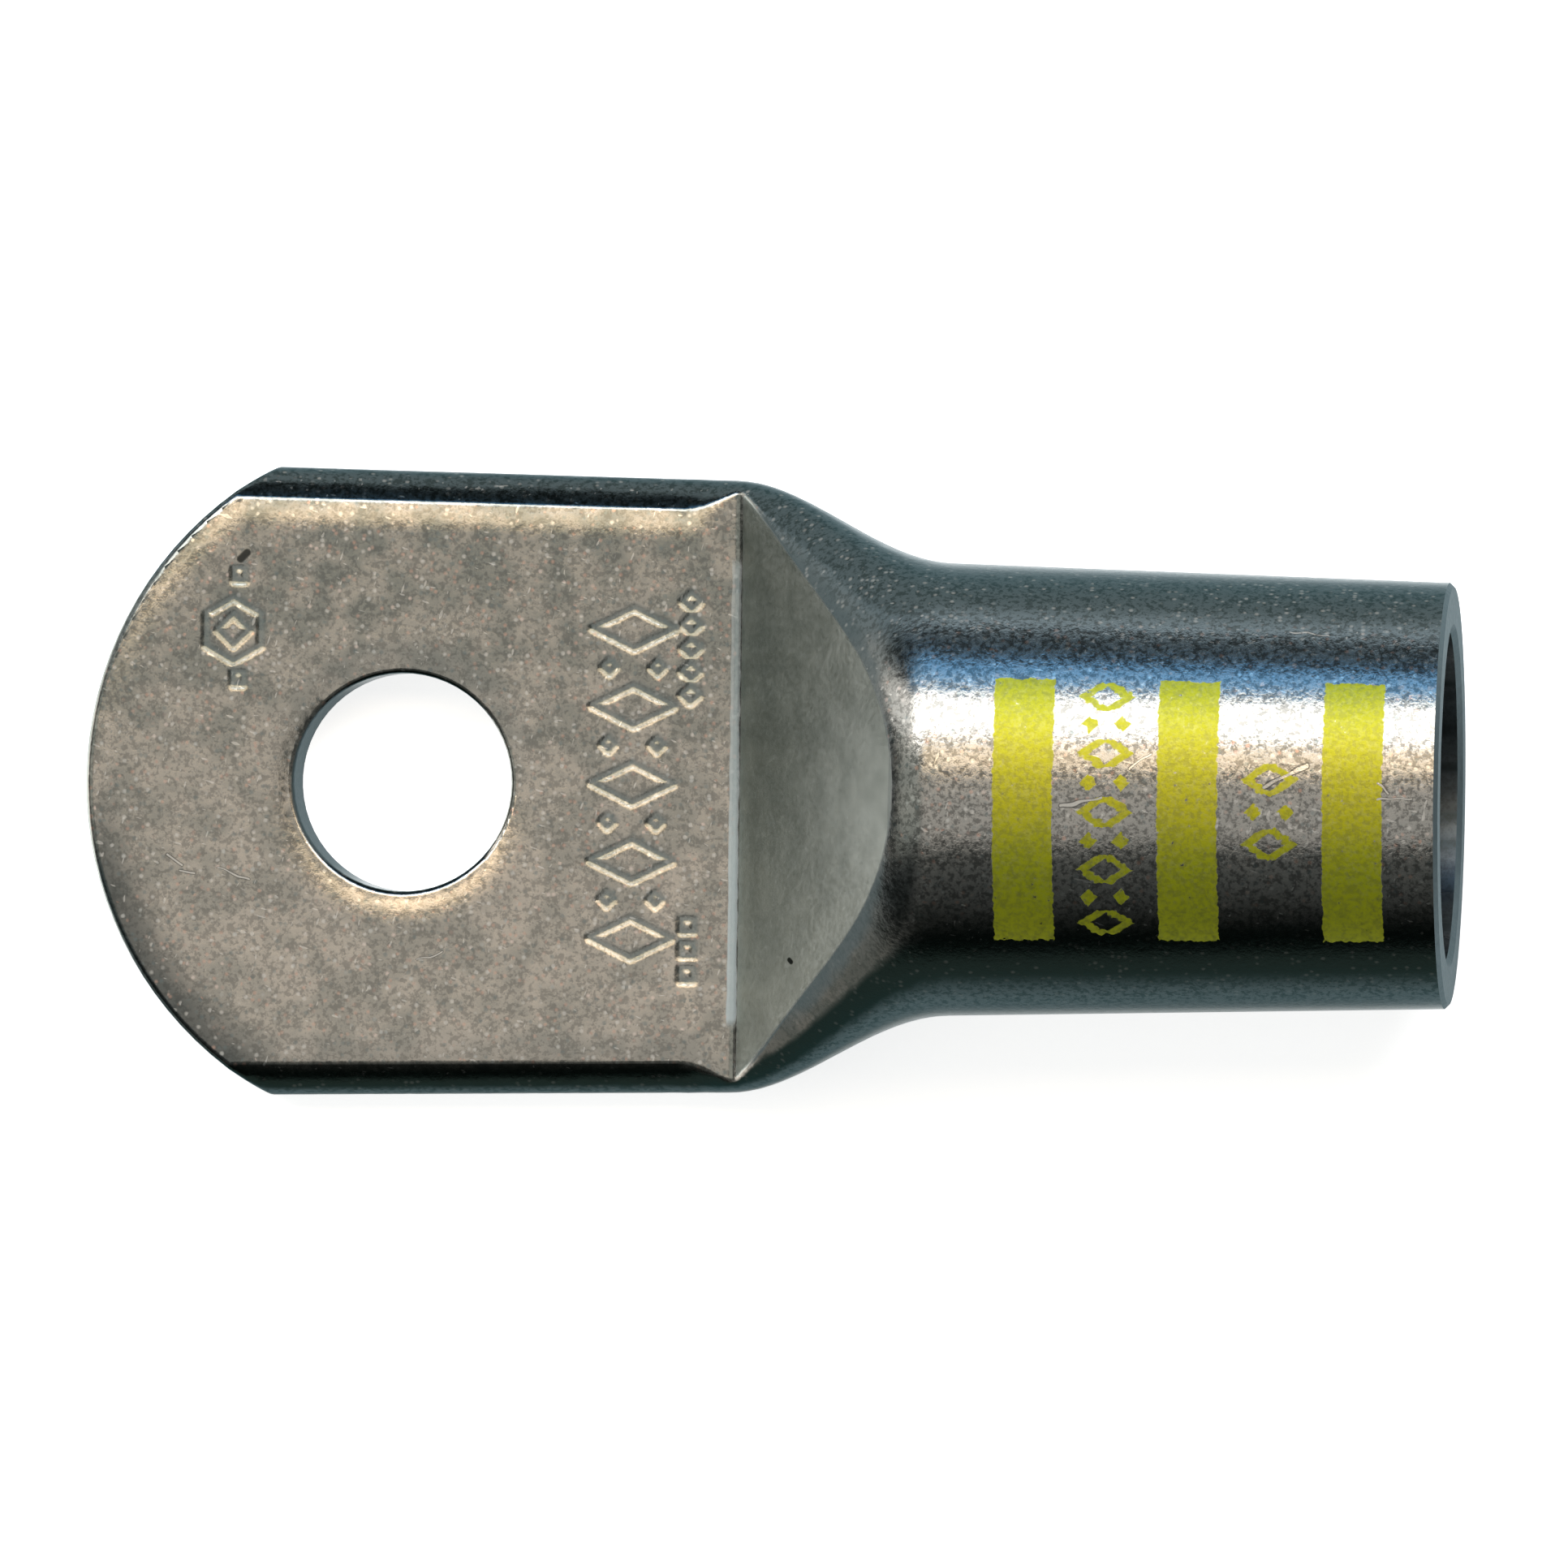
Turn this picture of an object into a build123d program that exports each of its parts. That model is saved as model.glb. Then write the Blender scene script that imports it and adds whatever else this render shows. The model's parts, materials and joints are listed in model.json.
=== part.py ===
from build123d import *
import math
import os

# Tin-plated copper cable lug, made from one length of round tube.
# One end is pressed flat and punched for a stud. The other end stays round and takes the cable.
# The origin is the stud hole's axis at the underside of the flat end (the palm).
# +X runs along the barrel to its open mouth, +Z is up, away from the seating face.
# All lengths are in millimetres and all angles in degrees.

# Tube
barrel_diameter = 20.0
tube_wall = 2.2

# Places along X, measured from the stud hole
tip_to_hole = 15.05
flare_start = 13.2
spread_start = 15.6
hole_to_shoulder = 15.87
flare_end = 26.6
hole_to_mouth = 50.0

# Palm, the flattened end
palm_thickness = 2 * tube_wall
palm_width = 29.7
palm_side_taper = 1.05
tip_radius = 16.9
tip_edge_radius = 0.45
palm_edge_radius = 0.4
stud_hole_diameter = 10.3
stud_hole_edge_radius = 0.3
stud_hole_burr_chamfer = 0.12

# How far the folded sides would bulge past the palm's faces without the press
fold_bulge = 2.8

# The barrel clears the seating face by this much, so that the palm beds flat
barrel_lift = 0.1

# Shoulder, where the press stops and the tube opens out
shoulder_angle = 60.0
shoulder_root_radius = 0.7
shoulder_width = 21.25
flare_stations = 17

# Open ends
mouth_outer_chamfer = 0.2
mouth_inner_chamfer = 0.25
seam_gap = 0.12
seam_depth = 0.6

# Room that the cutting shapes leave past the body
clear = 5.0

# Sizes that follow from the ones above
barrel_radius = barrel_diameter / 2
bore_radius = barrel_radius - tube_wall
barrel_axis_height = barrel_lift + barrel_radius
barrel_top = barrel_lift + barrel_diameter
tip_centre = tip_radius - tip_to_hole
tip_corner = tip_centre - math.sqrt(tip_radius**2 - (palm_width / 2) ** 2)


def ease(x, start, end):
    """0 before start, 1 after end, and a smooth S between them."""
    t = min(max((x - start) / (end - start), 0.0), 1.0)
    return t * t * (3 - 2 * t)


def blend(share, first, last):
    return first + (last - first) * share


def oval(x, half_width, low, high):
    """An elliptical section across the tube at x, between two heights."""
    section = Plane(origin=(x, 0, (low + high) / 2), x_dir=(0, 1, 0), z_dir=(1, 0, 0))
    return section * Ellipse(half_width, (high - low) / 2)


def palm_half_width(x):
    """The palm is widest at the corners of its tip and narrows a little towards the barrel."""
    return palm_width / 2 - (x - tip_corner) * math.tan(math.radians(palm_side_taper))


def free_section(x, inset, barrel_half_width):
    """The tube at x as it would be without the press faces, inset from its outer skin."""
    spread = ease(x, spread_start, flare_end)
    rise = ease(x, flare_start, flare_end)
    half_width = blend(spread, palm_half_width(x) - inset, barrel_half_width)
    low = blend(rise, -fold_bulge, barrel_lift) + inset
    high = blend(rise, palm_thickness + fold_bulge, barrel_top) - inset
    return oval(x, half_width, low, high)


def flare(inset, barrel_half_width):
    """The stretch where the flattened tube opens out to the round barrel."""
    step = (flare_end - flare_start) / (flare_stations - 1)
    stations = [flare_start + step * i for i in range(flare_stations)]
    return loft([free_section(x, inset, barrel_half_width) for x in stations])


def palm_blank():
    """The folded end, wider at its tip, before it is pressed flat and trimmed."""
    far = -tip_to_hole - clear
    tip = oval(far, palm_half_width(far), -fold_bulge, palm_thickness + fold_bulge)
    root = free_section(flare_start, 0.0, shoulder_width / 2)
    return loft([tip, root], ruled=True)


def barrel_blank():
    """The crimp barrel: a little wide at the shoulder, round at the mouth, its outer rim bevelled."""
    bevel = mouth_outer_chamfer
    shoulder = free_section(flare_end, 0.0, shoulder_width / 2)
    rim = oval(hole_to_mouth - bevel, barrel_radius, barrel_lift, barrel_top)
    mouth = oval(hole_to_mouth, barrel_radius - bevel, barrel_lift + bevel, barrel_top - bevel)
    return loft([shoulder, rim, mouth], ruled=True)


def press_profile(floor, foot):
    """Corners of the room over a flat floor and a slope that rises from its foot."""
    top = barrel_top + clear
    crest = foot + (top - floor) / math.tan(math.radians(shoulder_angle))
    far = -tip_to_hole - 2 * clear
    return [(foot, floor), (crest, top), (far, top), (far, floor)]


def above_press(floor, foot, root_radius=0.0):
    """What a press face clears: over the palm, then up the sloped shoulder."""
    profile = Plane.XZ * make_face(Polyline(*press_profile(floor, foot), close=True))
    if root_radius:
        root = profile.vertices().sort_by_distance((foot, 0, floor))[0]
        profile = fillet(root, root_radius)
    return extrude(profile, amount=palm_width, both=True)


def below(height):
    """Everything under one height, longer and wider than the lug."""
    length = tip_to_hole + hole_to_mouth + 4 * clear
    centre = (hole_to_mouth - tip_to_hole) / 2
    block = Box(length, 2 * palm_width, barrel_diameter)
    return Pos(centre, 0, height - barrel_diameter / 2) * block


def tip_trim():
    """The trimmed outline: a round tip with a rolled upper edge, open towards the barrel."""
    height = palm_thickness + clear
    disc = Pos(tip_centre, 0, palm_thickness - height / 2) * Cylinder(tip_radius, height)
    disc = fillet(disc.edges().filter_by(GeomType.CIRCLE).sort_by(Axis.Z)[-1], tip_edge_radius)
    length = hole_to_mouth + clear
    block = Box(length, 2 * palm_width, barrel_top + 2 * clear)
    return disc + Pos(length / 2, 0, barrel_top / 2) * block


def cavity():
    """The cable's room: a round bore, then the tube's inside closing down to a slit."""
    inner_foot = hole_to_shoulder + tube_wall * math.tan(math.radians(shoulder_angle / 2))
    closing = flare(tube_wall, bore_radius) - above_press(tube_wall, inner_foot) - below(tube_wall)
    bore_length = hole_to_mouth - flare_end
    bore = Pos(flare_end + bore_length / 2, 0, barrel_axis_height) * Rot(0, 90, 0)
    return closing + bore * Cylinder(bore_radius, bore_length)


def stud_hole():
    return Pos(0, 0, palm_thickness / 2) * Cylinder(stud_hole_diameter / 2, palm_thickness + clear)


def tip_seam():
    """The hairline where the tube's two walls meet, open a little at the cut tip."""
    ring = Cylinder(tip_radius + clear, seam_gap) - Cylinder(tip_radius - seam_depth, seam_gap)
    window = Pos(-tip_radius, 0, 0) * Box(tip_radius, palm_width - 2 * tube_wall, seam_gap)
    return Pos(tip_centre, 0, palm_thickness / 2) * (ring & window)


def stud_rim(lug, highest):
    """The stud hole's upper or lower edge."""
    rims = [e for e in lug.edges().filter_by(GeomType.CIRCLE) if abs(e.arc_center.X) < seam_gap]
    rims.sort(key=lambda e: e.arc_center.Z)
    return rims[-1] if highest else rims[0]


def palm_rims(lug):
    """The upper edges along the palm's sides. Their rounding runs on round the shoulder's crest."""
    level = [e for e in lug.edges() if abs(e.center().Z - palm_thickness) < seam_gap / 2]
    outside = [e for e in level if abs(e.center().Y) > stud_hole_diameter / 2]
    return [e for e in outside if e.length > shoulder_root_radius]


def end_face(lug):
    return lug.faces().sort_by(Axis.X)[-1]


def lug_body():
    press = above_press(palm_thickness, hole_to_shoulder, shoulder_root_radius)
    pressed = palm_blank() + flare(0.0, shoulder_width / 2) - press - below(0.0)
    lug = (pressed & tip_trim()) + barrel_blank() - cavity() - stud_hole()
    lug = fillet(palm_rims(lug), palm_edge_radius)
    lug = fillet(stud_rim(lug, True), stud_hole_edge_radius)
    lug = chamfer(stud_rim(lug, False), stud_hole_burr_chamfer)
    lug = chamfer(end_face(lug).inner_wires()[0].edges(), mouth_inner_chamfer)
    return lug - tip_seam()


os.makedirs("parts", exist_ok=True)
export_step(lug_body(), "parts/lug_body.step")
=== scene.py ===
"""Dresses a tin-plated tube lug: a punched palm, tumbled tin, yellow paint bands and a light studio."""

import json
import math

import bmesh
import bpy
from bpy.props import FloatProperty, FloatVectorProperty, IntProperty, PointerProperty
from mathutils import Matrix, Vector, geometry, kdtree


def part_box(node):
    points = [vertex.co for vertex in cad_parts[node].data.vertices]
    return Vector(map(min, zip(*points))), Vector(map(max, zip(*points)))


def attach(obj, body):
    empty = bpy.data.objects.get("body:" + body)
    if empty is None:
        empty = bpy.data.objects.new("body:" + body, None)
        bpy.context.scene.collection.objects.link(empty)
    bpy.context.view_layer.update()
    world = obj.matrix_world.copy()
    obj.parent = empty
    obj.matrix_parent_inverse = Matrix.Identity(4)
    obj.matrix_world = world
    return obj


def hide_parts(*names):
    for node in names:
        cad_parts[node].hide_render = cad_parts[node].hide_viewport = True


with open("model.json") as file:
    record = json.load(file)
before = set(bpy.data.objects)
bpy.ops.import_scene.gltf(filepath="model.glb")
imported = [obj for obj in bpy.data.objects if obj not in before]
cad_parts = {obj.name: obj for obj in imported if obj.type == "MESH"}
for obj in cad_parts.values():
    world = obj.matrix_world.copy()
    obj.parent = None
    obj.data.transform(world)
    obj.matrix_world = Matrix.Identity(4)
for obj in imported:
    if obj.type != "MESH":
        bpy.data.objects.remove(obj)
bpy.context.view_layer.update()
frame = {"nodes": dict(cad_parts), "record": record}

bl_info = {
    "name": "Tinned tube lug",
    "version": (1, 0, 0),
    "blender": (4, 5, 0),
    "location": "View3D > Sidebar > Tube lug",
    "description": "Punched marks, tumbled tin and paint bands on a pressed tube lug",
    "category": "Object",
}

# Units and places that come from the frame
MM = 0.001
NODE = "lug_body"
BODY = "root"
LOW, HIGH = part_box(NODE)
MOUNTS = {mount["name"]: mount for mount in frame["record"]["mounts"]}
PALM_TOP = MOUNTS["palm_face"]["pos_m"][2]
BARREL_AXIS = MOUNTS["cable_bore"]["pos_m"][2]
BARREL_TOP = HIGH.z
MOUTH = HIGH.x
SKIN_RADIUS = BARREL_TOP - BARREL_AXIS

# Places along the lug that the frame doesn't give
TIP_RADIUS = 16.9 * MM
TIP_CENTRE = LOW.x + TIP_RADIUS
FLARE_START = 13.2 * MM
RIM_END = 15.3 * MM
CAVITY_START = 17.0 * MM
CAVITY_ROUND = 26.6 * MM

# The bore's own faces lie this near its axis, and end this far inside the mouth
BORE_REACH = 0.86 * SKIN_RADIUS
END_FACE_DEPTH = 0.4 * MM

# Where the barrel's look takes over from the palm's, and the lip along the shoulder's foot, which gets a
# painted highlight
BARREL_LOOK_START = 22 * MM
BARREL_LOOK_END = 27 * MM
LIP_START = 15.5 * MM
LIP_END = 15.98 * MM
LIP_NEAR_END = -11.2 * MM
LIP_FAR_END = 10.6 * MM

# Faces that lean towards the tip get painted shade from this far off the middle of the palm's flat
FLAT_MIDDLE = 8 * MM
SHADE_START = 8.2 * MM
SHADE_FULL = 9.4 * MM

# Mesh tolerances, and how the re-tiled palm is laid
TOUCH = 0.001 * MM
FLAT = 0.9999
SHARP = math.radians(32)
TILE_MERGE = 1e-5
ROW_SPACING = math.sqrt(3) / 2

# Outlines punched into the palm, in millimetres and degrees. Each row has a name, a count, the first
# one's place, the step to the next, and an outline's sides, half length, half width and turn.
PUNCHED_ROWS = [
    ("long_diamonds", 5, (10.9, 7.4), (0, -3.65), 4, 1.95, 0.95, 0),
    ("upper_pips", 4, (9.75, 5.575), (0, -3.65), 4, 0.3, 0.3, 0),
    ("lower_pips", 4, (12.05, 5.575), (0, -3.65), 4, 0.3, 0.3, 0),
    ("small_diamonds", 5, (13.6, 8.7), (0, -1.1), 4, 0.42, 0.38, 0),
    ("small_squares", 3, (13.6, -6.6), (0, -1.15), 4, 0.42, 0.42, 45),
    ("tip_hexagon", 1, (-8.1, 7.1), (0, 0), 6, 1.5, 1.5, 30),
    ("tip_diamond", 1, (-8.1, 7.1), (0, 0), 4, 0.75, 0.75, 0),
    ("tip_pips", 2, (-7.85, 9.7), (0, -4.9), 4, 0.35, 0.4, 45),
]

# Marks painted between the bands: a row's first and last angle in degrees round the barrel, and its count
PAINTED_ROWS = [(-41, 30, 9), (-18, 8, 3)]

# Single gouges and pits in millimetres: start, end and half width. Those on the tube are laid out
# round its skin.
PALM_GOUGES = [
    (-11.1, -3.5, -10.4, -4.0, 0.063),
    (-10.5, -4.3, -9.8, -4.4, 0.049),
    (-8.7, -4.2, -7.2, -4.7, 0.042),
    (0.8, -8.4, 2.0, -8.0, 0.042),
]
TUBE_GOUGES = [
    (32.4, -0.8, 34.3, -0.3, 0.07),
    (35.6, 1.1, 36.6, 1.8, 0.049),
    (41.9, 0.3, 43.9, 1.4, 0.091),
    (47.2, 0.5, 47.7, 0.1, 0.056),
    (47.2, -0.2, 48.8, -0.2, 0.049),
    (42.8, 8.5, 44.6, 8.3, 0.056),
]
PALM_PITS = [
    (-7.8, 10.45, -7.5, 10.75, 0.22),
    (18.9, -8.1, 19.0, -8.2, 0.14),
]

# The skin's grain, its streaks, and the paint's ragged edges
GROOVE = "groove"
DIMPLE_SIZE = 0.3 * MM
FLECK_SIZE = 0.28 * MM
CLOUD_SIZE = 1.7 * MM
WOBBLE_SIZE = 0.8 * MM
WOBBLE_REACH = 0.4 * MM
SCRATCH_DIRECTIONS = 2
SCRATCH_LENGTH = 0.6 * MM
SCRATCH_WIDTH = 0.19 * MM
SCRATCH_TURN = math.radians(17)
SCRATCH_RARITY = 0.79
DRAWN_LENGTH = 8 * MM
DRAWN_WIDTH = 1.2 * MM
FRAY_SIZE = 0.35 * MM
WEAR_SIZE = 0.25 * MM
PAINT_EDGE = 0.03 * MM
ROW_EDGE = 0.001

# What the lamps and the camera are aimed at, and the floor, which lies a hair under the lug
LAMP_AIM = Vector((MOUTH * 0.4, 0, BARREL_AXIS))
CAMERA_AIM = Vector((18.4 * MM, 0.155 * MM, 8 * MM))
CAMERA_DISTANCE = 1.5
FLOOR_GAP = 0.02 * MM


class Field:
    """A value in a node tree. Arithmetic on it adds Math nodes."""

    def __init__(self, tree, socket):
        self.tree = tree
        self.socket = socket

    def math(self, operation, *others):
        node = self.tree.nodes.new("ShaderNodeMath")
        node.operation = operation
        for slot, value in zip(node.inputs, (self, *others)):
            feed(self.tree, slot, value)
        return Field(self.tree, node.outputs[0])

    def __add__(self, other):
        return self.math("ADD", other)

    def __sub__(self, other):
        return self.math("SUBTRACT", other)

    def __mul__(self, other):
        return self.math("MULTIPLY", other)

    def __truediv__(self, other):
        return self.math("DIVIDE", other)

    def ramp(self, start, end, low=0.0, high=1.0):
        """A smooth step from low at start to high at end."""
        node = self.tree.nodes.new("ShaderNodeMapRange")
        node.interpolation_type = "SMOOTHSTEP"
        for slot, value in zip(node.inputs[:5], (self, start, end, low, high)):
            feed(self.tree, slot, value)
        return Field(self.tree, node.outputs[0])

    def opposite(self):
        """0 where this is 1, and 1 where it is 0."""
        return self * -1.0 + 1.0

    def inside(self, start, end, edge):
        """1 between start and end, with soft edges of the given width."""
        return self.ramp(start - edge, start + edge) * self.ramp(end - edge, end + edge, 1.0, 0.0)


def feed(tree, slot, value):
    """Puts a number, or links a field, into a socket."""
    if isinstance(value, Field):
        tree.links.new(value.socket, slot)
    else:
        slot.default_value = value


def split(tree, vector):
    """The three parts of a vector, as fields."""
    node = tree.nodes.new("ShaderNodeSeparateXYZ")
    tree.links.new(vector.socket, node.inputs[0])
    return [Field(tree, output) for output in node.outputs]


def join(tree, x, y, z):
    """A vector from its three parts."""
    node = tree.nodes.new("ShaderNodeCombineXYZ")
    for slot, value in zip(node.inputs, (x, y, z)):
        feed(tree, slot, value)
    return Field(tree, node.outputs[0])


def as_scale(size):
    """The texture scale for features about size across. A field is a scale already."""
    return size if isinstance(size, Field) else 1 / size


def noise(tree, vector, size, detail=2.0, roughness=0.5):
    """Cloudy noise whose patches are about size across."""
    node = tree.nodes.new("ShaderNodeTexNoise")
    feed(tree, node.inputs["Vector"], vector)
    feed(tree, node.inputs["Scale"], as_scale(size))
    node.inputs["Detail"].default_value = detail
    node.inputs["Roughness"].default_value = roughness
    return Field(tree, node.outputs[0])


def cells(tree, vector, size):
    """Random cells about size across: the distance to each centre, and a random colour for each."""
    node = tree.nodes.new("ShaderNodeTexVoronoi")
    feed(tree, node.inputs["Vector"], vector)
    feed(tree, node.inputs["Scale"], as_scale(size))
    return Field(tree, node.outputs["Distance"]), Field(tree, node.outputs["Color"])


def mapped(tree, vector, turn, length, width):
    """A vector turned about Z and scaled, so that noise on it draws streaks of a length and a width."""
    node = tree.nodes.new("ShaderNodeMapping")
    tree.links.new(vector.socket, node.inputs["Vector"])
    node.inputs["Rotation"].default_value = (0, 0, turn)
    stretch = tree.nodes.new("ShaderNodeVectorMath")
    stretch.operation = "MULTIPLY"
    tree.links.new(node.outputs[0], stretch.inputs[0])
    stretch.inputs[1].default_value = (1 / length, 1 / width, 1 / width)
    return Field(tree, stretch.outputs[0])


def mix(tree, share, first, second):
    """A colour between first and second."""
    node = tree.nodes.new("ShaderNodeMix")
    node.data_type = "RGBA"
    feed(tree, node.inputs[0], share)
    for slot, value in ((node.inputs[6], first), (node.inputs[7], second)):
        feed(tree, slot, value if isinstance(value, Field) else (*value, 1.0))
    return Field(tree, node.outputs[2])


def layered(tree, colour, layers):
    """Colours laid over one another, each as strong as its share."""
    for share, layer in layers:
        colour = mix(tree, share, colour, layer)
    return colour


def mix_value(share, first, second):
    """A number between first and second, either of which may be a field."""
    return share.opposite() * first + share * second


def new_group(name, kind, inputs, outputs):
    """An empty node group with named sockets: its tree, its inputs as fields, and its output node."""
    tree = bpy.data.node_groups.new(name, kind)
    for title, socket_type, default in inputs:
        socket = tree.interface.new_socket(title, in_out="INPUT", socket_type=socket_type)
        if default is not None:
            socket.default_value = default
    for title, socket_type in outputs:
        tree.interface.new_socket(title, in_out="OUTPUT", socket_type=socket_type)
    entry = tree.nodes.new("NodeGroupInput")
    leave = tree.nodes.new("NodeGroupOutput")
    given = {title: Field(tree, entry.outputs[title]) for title, _, _ in inputs}
    return tree, given, leave


def use_group(tree, group, **values):
    """Places a shader group in a material, with its own values."""
    node = tree.nodes.new("ShaderNodeGroup")
    node.node_tree = group
    for title, value in values.items():
        feed(tree, node.inputs[title.replace("_", " ")], value)
    return {output.name: Field(tree, output) for output in node.outputs}


# Punched marks


def near_edges(tree, helper):
    """How far a point is from the nearest edge of a helper object."""
    info = tree.nodes.new("GeometryNodeObjectInfo")
    feed(tree, info.inputs["Object"], helper)
    near = tree.nodes.new("GeometryNodeProximity")
    near.target_element = "EDGES"
    tree.links.new(info.outputs["Geometry"], near.inputs[0])
    return Field(tree, near.outputs["Distance"])


def lowered(tree, surface, fall):
    """A surface whose points sink by a field."""
    move = tree.nodes.new("GeometryNodeSetPosition")
    feed(tree, move.inputs["Geometry"], surface)
    feed(tree, move.inputs["Offset"], join(tree, 0.0, 0.0, fall * -1.0))
    return Field(tree, move.outputs[0])


def close_tree(tree, result, material, leave):
    """Ends a Geometry Nodes tree: what it made becomes real and gets its material."""
    real = tree.nodes.new("GeometryNodeRealizeInstances")
    feed(tree, real.inputs[0], result)
    coloured = tree.nodes.new("GeometryNodeSetMaterial")
    tree.links.new(real.outputs[0], coloured.inputs["Geometry"])
    feed(tree, coloured.inputs["Material"], material)
    tree.links.new(coloured.outputs[0], leave.inputs[0])


def outline_tree():
    """Geometry Nodes: a row of equal outlines, stepped along a line on the palm."""
    tree, given, leave = new_group(
        "Punched outline row",
        "GeometryNodeTree",
        [
            ("Count", "NodeSocketInt", 4),
            ("First", "NodeSocketVector", (0, 0, 0)),
            ("Step", "NodeSocketVector", (0, 0, 0)),
            ("Sides", "NodeSocketInt", 4),
            ("Half Length", "NodeSocketFloat", 1.0),
            ("Half Width", "NodeSocketFloat", 1.0),
            ("Turn", "NodeSocketFloat", 0.0),
            ("Material", "NodeSocketMaterial", None),
        ],
        [("Geometry", "NodeSocketGeometry")],
    )
    row = tree.nodes.new("GeometryNodeMeshLine")
    row.mode = "OFFSET"
    feed(tree, row.inputs["Count"], given["Count"])
    feed(tree, row.inputs["Start Location"], given["First"])
    feed(tree, row.inputs["Offset"], given["Step"])

    outline = tree.nodes.new("GeometryNodeMeshCircle")
    feed(tree, outline.inputs["Vertices"], given["Sides"])
    outline.inputs["Radius"].default_value = 1.0
    turned = tree.nodes.new("GeometryNodeTransform")
    tree.links.new(outline.outputs[0], turned.inputs["Geometry"])
    feed(tree, turned.inputs["Rotation"], join(tree, 0.0, 0.0, given["Turn"]))
    sized = tree.nodes.new("GeometryNodeTransform")
    tree.links.new(turned.outputs[0], sized.inputs["Geometry"])
    feed(tree, sized.inputs["Scale"], join(tree, given["Half Length"], given["Half Width"], 1.0))

    placed = tree.nodes.new("GeometryNodeInstanceOnPoints")
    tree.links.new(row.outputs[0], placed.inputs["Points"])
    tree.links.new(sized.outputs[0], placed.inputs["Instance"])
    close_tree(tree, Field(tree, placed.outputs[0]), given["Material"], leave)
    return tree


def press_tree():
    """Geometry Nodes: pushes a surface down along soft-edged grooves that follow another mesh's edges."""
    tree, given, leave = new_group(
        "Pressed grooves",
        "GeometryNodeTree",
        [
            ("Geometry", "NodeSocketGeometry", None),
            ("Strokes", "NodeSocketObject", None),
            ("Floor Half Width", "NodeSocketFloat", 0.1),
            ("Groove Half Width", "NodeSocketFloat", 0.3),
            ("Depth", "NodeSocketFloat", 0.1),
            ("Material", "NodeSocketMaterial", None),
        ],
        [("Geometry", "NodeSocketGeometry")],
    )
    distance = near_edges(tree, given["Strokes"])
    groove = distance.ramp(given["Floor Half Width"], given["Groove Half Width"], 1.0, 0.0)
    kept = tree.nodes.new("GeometryNodeStoreNamedAttribute")
    kept.inputs["Name"].default_value = GROOVE
    feed(tree, kept.inputs["Geometry"], given["Geometry"])
    feed(tree, kept.inputs["Value"], groove)
    pressed = lowered(tree, Field(tree, kept.outputs[0]), groove * given["Depth"])
    close_tree(tree, pressed, given["Material"], leave)
    return tree


def roll_tree():
    """Geometry Nodes: lets a flat top fall away softly towards its rims, and takes the walls below along."""
    tree, given, leave = new_group(
        "Rolled rims",
        "GeometryNodeTree",
        [
            ("Geometry", "NodeSocketGeometry", None),
            ("Rims", "NodeSocketObject", None),
            ("Top", "NodeSocketFloat", 1.0),
            ("Width", "NodeSocketFloat", 1.0),
            ("Drop", "NodeSocketFloat", 0.1),
            ("Fade Start", "NodeSocketFloat", 1.0),
            ("Fade End", "NodeSocketFloat", 2.0),
            ("Material", "NodeSocketMaterial", None),
        ],
        [("Geometry", "NodeSocketGeometry")],
    )
    inward = (near_edges(tree, given["Rims"]) / given["Width"]).opposite().math("MAXIMUM", 0.0)
    x, _, z = split(tree, Field(tree, tree.nodes.new("GeometryNodeInputPosition").outputs[0]))
    on_top = z.ramp(given["Top"] - 4 * TOUCH, given["Top"] - 2 * TOUCH)
    share = on_top * inward * inward + on_top.opposite()
    fade = x.ramp(given["Fade Start"], given["Fade End"], 1.0, 0.0)
    rolled = lowered(tree, given["Geometry"], share * fade * (z / given["Top"]) * given["Drop"])
    close_tree(tree, rolled, given["Material"], leave)
    return tree


def plain_mesh(obj, name):
    """The evaluated object as a plain mesh, with the modifiers gone."""
    bpy.context.view_layer.update()
    graph = bpy.context.evaluated_depsgraph_get()
    mesh = bpy.data.meshes.new_from_object(obj.evaluated_get(graph))
    mesh.name = name
    obj.modifiers.clear()
    return mesh


def with_nodes(obj, tree, **values):
    """Adds a Geometry Nodes modifier and sets its inputs by their identifiers."""
    modifier = obj.modifiers.new(tree.name, "NODES")
    modifier.node_group = tree
    identifiers = {i.name: i.identifier for i in tree.interface.items_tree if i.in_out == "INPUT"}
    for title, value in values.items():
        modifier[identifiers[title.replace("_", " ")]] = value
    return modifier


def link_object(name, data):
    """A new object in the scene, with a mesh, a lamp or a camera as its data."""
    obj = bpy.data.objects.new(name, data)
    bpy.context.scene.collection.objects.link(obj)
    return obj


def outline_row(tree, material, name, count, first, step, sides, half_length, half_width, turn):
    """One row of punched outlines on the palm's upper face, from a line of PUNCHED_ROWS."""
    obj = link_object(name, bpy.data.meshes.new(name))
    with_nodes(
        obj,
        tree,
        Count=count,
        First=[first[0] * MM, first[1] * MM, PALM_TOP],
        Step=[step[0] * MM, step[1] * MM, 0.0],
        Sides=sides,
        Half_Length=half_length * MM,
        Half_Width=half_width * MM,
        Turn=math.radians(turn),
        Material=material,
    )
    mesh = plain_mesh(obj, name)
    bpy.data.objects.remove(obj)
    return mesh


def punched_strokes(material):
    """All the punched outlines as one hidden helper."""
    tree = outline_tree()
    bm = bmesh.new()
    for row in PUNCHED_ROWS:
        mesh = outline_row(tree, material, *row)
        bm.from_mesh(mesh)
        bpy.data.meshes.remove(mesh)
    whole = bpy.data.meshes.new("punched_strokes")
    bm.to_mesh(whole)
    bm.free()
    return link_object("punched_strokes", whole)


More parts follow.
